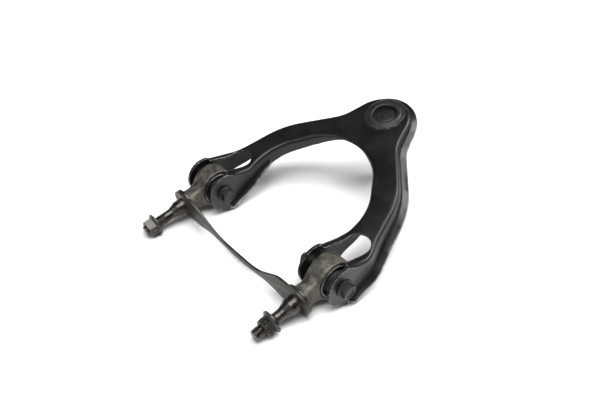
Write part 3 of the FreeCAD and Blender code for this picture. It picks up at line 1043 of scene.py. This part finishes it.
@dataclass(frozen=True)
class Bush:
    """Bonded rubber bush in an anchor's eye.

    Attributes:
        sleeve: Inner and outer radius of the outer sleeve.
        sleeve_half: Half its length.
        tube: Inner and outer radius of the inner sleeve.
        tube_half: Half its length.
        rubber_half: Half the rubber's length at the inner sleeve.
    """

    sleeve: tuple[float, float] = (16.3, 17.8)
    sleeve_half: float = 10.5
    tube: tuple[float, float] = (5.08, 9.0)
    tube_half: float = 19.0
    rubber_half: float = 13.0

    def build(self, layout: Layout, palette: Palette, side: Side) -> None:
        """Make one bush.

        Args:
            layout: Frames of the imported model.
            palette: The finishes.
            side: Which eye.
        """
        datum = layout.along_pivot(side)
        put_piece(self._ring(self.sleeve, self.sleeve_half, 0.35), f"{side.value}_outer_sleeve",
                  datum, palette.sleeve_steel, Body.BRACKET, [f"{side.value}_bush_outer_sleeve"])
        put_piece(self._ring(self.tube, self.tube_half, 0.4), f"{side.value}_inner_sleeve",
                  datum, palette.sleeve_steel, Body.ARM, [f"{side.value}_bush_inner_sleeve"])
        put_piece(self._rubber(), f"{side.value}_rubber", datum, palette.rubber, Body.BRACKET,
                  [f"{side.value}_bush_rubber"], crease=60.0)

    @staticmethod
    def _ring(radii: tuple[float, float], half: float, edge: float) -> bmesh.types.BMesh:
        """Tube with its four rims chamfered."""
        inner, outer = radii
        return lathe(mirrored([(outer, half - edge), (outer - edge, half), (inner + edge, half),
                               (inner, half - edge)]))

    def _rubber(self) -> bmesh.types.BMesh:
        """Rubber with a bead at the sleeve, a groove and a bulged bead at the tube."""
        tube, wall = self.tube[1] + 0.05, self.sleeve[0]
        half, rim = self.rubber_half, self.sleeve_half
        return lathe(mirrored([
                (wall, rim - 0.6), (wall - 0.5, rim - 0.1), (wall - 1.3, rim - 0.5),
                (wall - 2.0, rim - 2.2), (wall - 3.0, rim - 2.9), (tube + 3.2, rim - 2.2),
                (tube + 2.8, half - 1.6), (tube + 2.1, half - 0.5), (tube + 1.1, half),
                (tube + 0.2, half - 0.1), (tube, half - 0.3)]))


@dataclass(frozen=True)
class PivotBolt:
    """M10 bolt and nut through two ears and a bush.

    Attributes:
        seat: Distance from the eye's middle to an ear's outer face.
        flange: Radius of the head's flange.
        flats: Width across the head's flats.
        head: Heights of the flange and of the whole head.
        shank: Radius of the shank.
        length: Length under the head.
        nut: The nut's sizes.
    """

    seat: float = 22.0
    flange: float = 9.6
    flats: float = 14.0
    head: tuple[float, float] = (2.6, 8.4)
    shank: float = 5.0
    length: float = 57.5
    nut: HexNut = HexNut(4.9, (10.6, 2.8), 15.0, 10.5)

    def build(self, layout: Layout, palette: Palette, side: Side) -> None:
        """Make one bolt and its nut.

        Args:
            layout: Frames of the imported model.
            palette: The finishes.
            side: Which eye.
        """
        node = [f"{side.value}_pivot_bolt"]
        datum = layout.along_pivot(side, -1)
        put_piece(self._head(14.0), f"{side.value}_bolt_head", datum, palette.phosphated,
                  Body.ARM, node, crease=24.0)
        end = self.seat - self.length
        put_piece(thread(M10_RADII, end, end + 18.0, (1.2, 0.6)),
                  f"{side.value}_bolt_thread", datum, palette.phosphated, Body.ARM, node)
        put_piece(self.nut.mesh(self.seat, 20.0), f"{side.value}_bolt_nut",
                  layout.along_pivot(side), palette.phosphated, Body.ARM,
                  [f"{side.value}_pivot_nut"], crease=24.0)

    def _head(self, turn: float) -> bmesh.types.BMesh:
        """Cupped hex head on its flange, with the plain part of the shank.

        Args:
            turn: Angle that the hexagon is turned by, degrees.

        Returns:
            The mesh, in the frame that the bolt runs through along Z.
        """
        low, high = (self.seat + height for height in self.head)
        corner, inner = corner_radius(self.flats), self.flats / 2
        bm = lathe([
            (0, self.seat - self.length + 17.0), (self.shank, self.seat - self.length + 17.0),
            (self.shank, self.seat), (self.flange - 0.3, self.seat), (self.flange, self.seat + 0.3),
            (self.flange, self.seat + 1.0), (self.flange - 0.5, self.seat + 1.4),
            (inner + 0.9, low), (corner, low), (corner, high - 0.3), (inner - 0.4, high),
            (inner - 1.4, high - 0.1), (inner - 2.2, high - 1.0), (0, high - 1.2)], closed=False)
        return hexed(bm, self.flats, low, high - 0.3, chamfer=0.7, turn=turn)


@dataclass(frozen=True)
class Strap:
    """Spacer strap between the two collars.

    Attributes:
        edge: Rounding of its sheared edges, millimetres.
    """

    edge: float = 0.4

    def build(self, palette: Palette) -> None:
        """Make the strap from the CAD shape."""
        bm = round_edges(cad_copy("spacer_strap"), self.edge, 50.0)
        put_piece(bm, "strap", PART, palette.strap_steel, Body.BRACKET, ["spacer_strap"])


@dataclass(frozen=True)
class BallJoint:
    """Ball joint under the nose: cap, plug, housing, stud and dust boot.

    Attributes:
        ball: Radius of the ball and its depth below the cap.
        cap: Radii of the cap's recess and of its rim.
        barrel: Radii of the housing under the nose and further down.
        taper: Radii and depths of the stud's taper.
        tip: Depth of the stud's tip.
        grip: Radius of the boot's seat on the housing.
    """

    ball: tuple[float, float] = (12.0, 18.0)
    cap: tuple[float, float] = (13.1, 22.3)
    barrel: tuple[float, float] = (22.3, 20.0)
    taper: tuple[tuple[float, float], tuple[float, float]] = ((8.4, -57.0), (6.7, -77.0))
    tip: float = -98.0
    grip: float = 20.1

    def build(self, layout: Layout, palette: Palette) -> None:
        """Make the joint's pieces.

        Args:
            layout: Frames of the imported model.
            palette: The finishes.
        """
        datum = layout.ball
        put_piece(self._cap(), "joint_cap", datum, palette.cap_coat, Body.ARM,
                  ["ball_joint_cap"], crease=50.0)
        put_piece(self._plug(), "joint_plug", datum, palette.cap_plug, Body.ARM,
                  ["ball_joint_plug"], crease=50.0)
        put_piece(self._housing(), "joint_housing", datum, palette.black_coat, Body.ARM,
                  ["ball_joint_housing"])
        put_piece(self._stud(), "joint_stud", datum, palette.bright_steel, Body.STUD,
                  ["ball_stud"])
        put_piece(thread(M12_RADII, self.tip, -79.2, (1.4, 0.4)), "joint_stud_thread",
                  datum, palette.bright_steel, Body.STUD, ["ball_stud"])
        self._boot(datum, palette)

    def _cap(self) -> bmesh.types.BMesh:
        """Stepped cap ring round the recess."""
        recess, rim = self.cap
        return lathe([
            (recess, -6.0), (15.4, -6.0), (15.4, -2.6), (rim - 0.2, -2.6), (rim, -2.4), (rim, -2.0),
            (rim - 0.25, -1.7), (rim - 0.8, -1.55), (18.8, -1.4), (18.3, -1.2), (17.9, -0.7),
            (17.5, -0.3), (16.8, -0.05), (14.4, 0.0), (13.8, -0.15), (13.3, -0.6), (recess, -1.2)],
            steps=120)

    def _plug(self) -> bmesh.types.BMesh:
        """Dished plug in the recess, with a pressed groove round its middle."""
        recess = self.cap[0]
        return lathe([
            (0, -6.0), (recess, -6.0), (recess, -4.7), (recess - 0.6, -4.4), (11.2, -4.35),
            (10.4, -4.2), (9.6, -3.8), (7.4, -3.55), (4.0, -3.45), (0, -3.4)], closed=False,
            steps=96)

    def _housing(self) -> bmesh.types.BMesh:
        """Barrel of the joint with its pressed step and open mouth."""
        upper, lower = self.barrel
        return lathe([
            (15.4, -2.6), (upper, -2.6), (upper, -13.6), (upper - 0.4, -14.4), (lower + 0.5, -15.7),
            (lower, -16.6), (lower, -30.4), (lower - 0.6, -31.0), (14.0, -31.0), (11.3, -26.2),
            (15.4, -26.2)], steps=96)

    def _stud(self) -> bmesh.types.BMesh:
        """Ball, neck, boot seat and taper."""
        radius, depth = self.ball
        start, end = math.radians(-60.0), math.radians(50.0)
        curve = []
        for k in range(25):
            angle = start + (end - start) * k / 24
            curve.append((radius * math.cos(angle), -depth + radius * math.sin(angle)))
        (wide, high), (narrow, low) = self.taper
        return lathe([
            (0, -79.6), (5.2, -79.6), (5.2, low - 0.8), (narrow - 0.4, low - 0.3), (narrow, low + 0.4),
            (wide, high), (wide, -46.4), (wide - 0.4, -45.6), (6.4, -42.6), (6.0, -41.6)]
            + curve + [(0, curve[-1][1])], closed=False)

    def _boot(self, datum: Datum, palette: Palette) -> None:
        """Make the dust boot in two halves, laid in the part's frame on no body.

        Args:
            datum: The joint's frame.
            palette: The finishes.
        """
        grip = self.grip
        upper = [(grip, -23.5), (grip + 1.4, -23.5), (grip + 1.8, -23.9), (grip + 1.8, -31.0),
                 (21.9, -32.2), (22.3, -33.6), (22.9, -35.4), (23.0, -37.4), (22.6, -40.0),
                 (20.8, -39.4), (21.2, -37.4), (21.1, -35.9), (20.7, -34.0), (grip, -31.6)]
        lower = [(22.6, -40.0), (21.4, -42.2), (19.6, -43.8), (17.2, -45.2), (14.6, -46.2),
                 (12.4, -47.2), (10.9, -48.3), (10.2, -49.6), (10.2, -55.1), (9.8, -55.5),
                 (8.5, -55.5), (8.5, -48.6), (9.6, -47.2), (11.6, -45.4), (14.4, -44.4),
                 (17.6, -42.9), (19.6, -41.3), (20.8, -39.4)]
        for name, profile, first, second, start, end in (
                ("boot_upper", upper, Body.ARM, Body.BOOT, -31.0, -39.4),
                ("boot_lower", lower, Body.BOOT, Body.BOOT_COLLAR, -40.0, -49.0)):
            piece = put_piece(lathe(profile, steps=96), name, datum, palette.rubber, None,
                              ["dust_boot"], crease=70.0)
            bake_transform(piece)


# Stage, camera and lights


@dataclass(frozen=True)
class Studio:
    """Floor, camera and soft lights.

    Attributes:
        azimuth: Camera's direction about Z, degrees.
        elevation: Camera's height above the floor plane, degrees.
        distance: Camera to aim point, metres.
        aim: Point the camera looks at, metres.
        lens: Focal length, millimetres.
        softboxes: Name, place, size and power of each light, metres and watts.
        surround: Strength of the even surround.
    """

    azimuth: float = -40.8
    elevation: float = 38.87
    distance: float = 0.6795
    aim: Vector = field(default_factory=lambda: Vector((0.07171, -0.01354, 0.03438)))
    lens: float = 40.255
    softboxes: tuple[tuple[str, tuple[float, float, float], float, float], ...] = (
        ("overhead_softbox", (-0.2, -0.4, 2.2), 1.5, 62.0),
        ("right_softbox", (1.5, -0.7, 1.7), 1.2, 40.0),
        ("left_softbox", (-1.3, 0.1, 0.9), 0.8, 5.0))
    surround: float = 0.14

    def build(self, floor_height: float) -> None:
        """Make the stage.

        Args:
            floor_height: Height of the floor, metres.
        """
        self._floor(floor_height)
        self._camera()
        for softbox in self.softboxes:
            self._light(*softbox)
        self._sky()

    def _direction(self) -> Vector:
        """Unit vector from the aim point to the camera."""
        azimuth, elevation = math.radians(self.azimuth), math.radians(self.elevation)
        return Vector((math.sin(azimuth) * math.cos(elevation),
                       -math.cos(azimuth) * math.cos(elevation), math.sin(elevation)))

    def _camera(self) -> None:
        """Make the scene's camera."""
        data = bpy.data.cameras.new("camera")
        data.lens = self.lens
        data.sensor_width = 36.0
        data.clip_start = 0.01
        camera = bpy.data.objects.new("camera", data)
        camera.location = self.aim + self._direction() * self.distance
        camera.rotation_euler = self._direction().to_track_quat("Z", "Y").to_euler()
        bpy.context.scene.collection.objects.link(camera)
        bpy.context.scene.camera = camera

    def _floor(self, height: float) -> None:
        """Make the pale plain floor.

        Args:
            height: Its height, metres.
        """
        bm = bmesh.new()
        bmesh.ops.create_grid(bm, x_segments=2, y_segments=2, size=6.0)
        bmesh.ops.translate(bm, verts=bm.verts, vec=(0, 0, height))
        mesh = bpy.data.meshes.new("floor")
        bm.to_mesh(mesh)
        bm.free()
        material = bpy.data.materials.new("floor")
        material.use_nodes = True
        graph = Graph(material.node_tree)
        shader = material.node_tree.nodes["Principled BSDF"]
        colour = graph.mix(graph.noise(3.0), (0.9, 0.9, 0.9), (0.93, 0.93, 0.93))
        for name, value in (("Base Color", colour), ("Roughness", 0.9),
                            ("Specular IOR Level", 0.1)):
            graph.feed(shader.inputs[name], value)
        mesh.materials.append(material)
        floor = bpy.data.objects.new("floor", mesh)
        bpy.context.scene.collection.objects.link(floor)
        floor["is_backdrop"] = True

    def _light(self, name: str, place: tuple[float, float, float], size: float,
               power: float) -> None:
        """Make one square softbox that faces the aim point.

        Args:
            name: Its name.
            place: Its place, metres.
            size: Its side, metres.
            power: Its power, watts.
        """
        data = bpy.data.lights.new(name, "AREA")
        data.shape = "SQUARE"
        data.size = size
        data.energy = power
        light = bpy.data.objects.new(name, data)
        light.location = place
        away = Vector(place) - self.aim
        light.rotation_euler = away.to_track_quat("Z", "Y").to_euler()
        bpy.context.scene.collection.objects.link(light)

    def _sky(self) -> None:
        """Set a dim even surround."""
        world = bpy.data.worlds.new("surround")
        world.use_nodes = True
        background = world.node_tree.nodes["Background"]
        background.inputs["Color"].default_value = (1.0, 1.0, 1.0, 1.0)
        background.inputs["Strength"].default_value = self.surround
        bpy.context.scene.world = world
        bpy.context.scene.view_settings.view_transform = "Standard"


def main() -> None:
    """Build the stage on the CAD model's lowest point, dress the CAD nodes and build every sub-assembly in order.
    """
    logging.basicConfig(level=logging.INFO, format="%(message)s")
    cad_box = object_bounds()
    layout, palette = Layout.from_record(BallJoint().ball[1]), Palette()
    Studio().build(cad_box[0][2])
    by_slot = palette.by_slot()
    for part in frame["record"]["subparts"]:
        dress_node(part["node"], by_slot[part["material_slot"]])
    ArmPressing().build(layout, palette)
    BallJoint().build(layout, palette)
    Strap().build(palette)
    for side in Side:
        for kind in (Anchor, Bush, PivotBolt, TowerNut):
            kind().build(layout, palette, side)


if __name__ == "__main__":
    main()
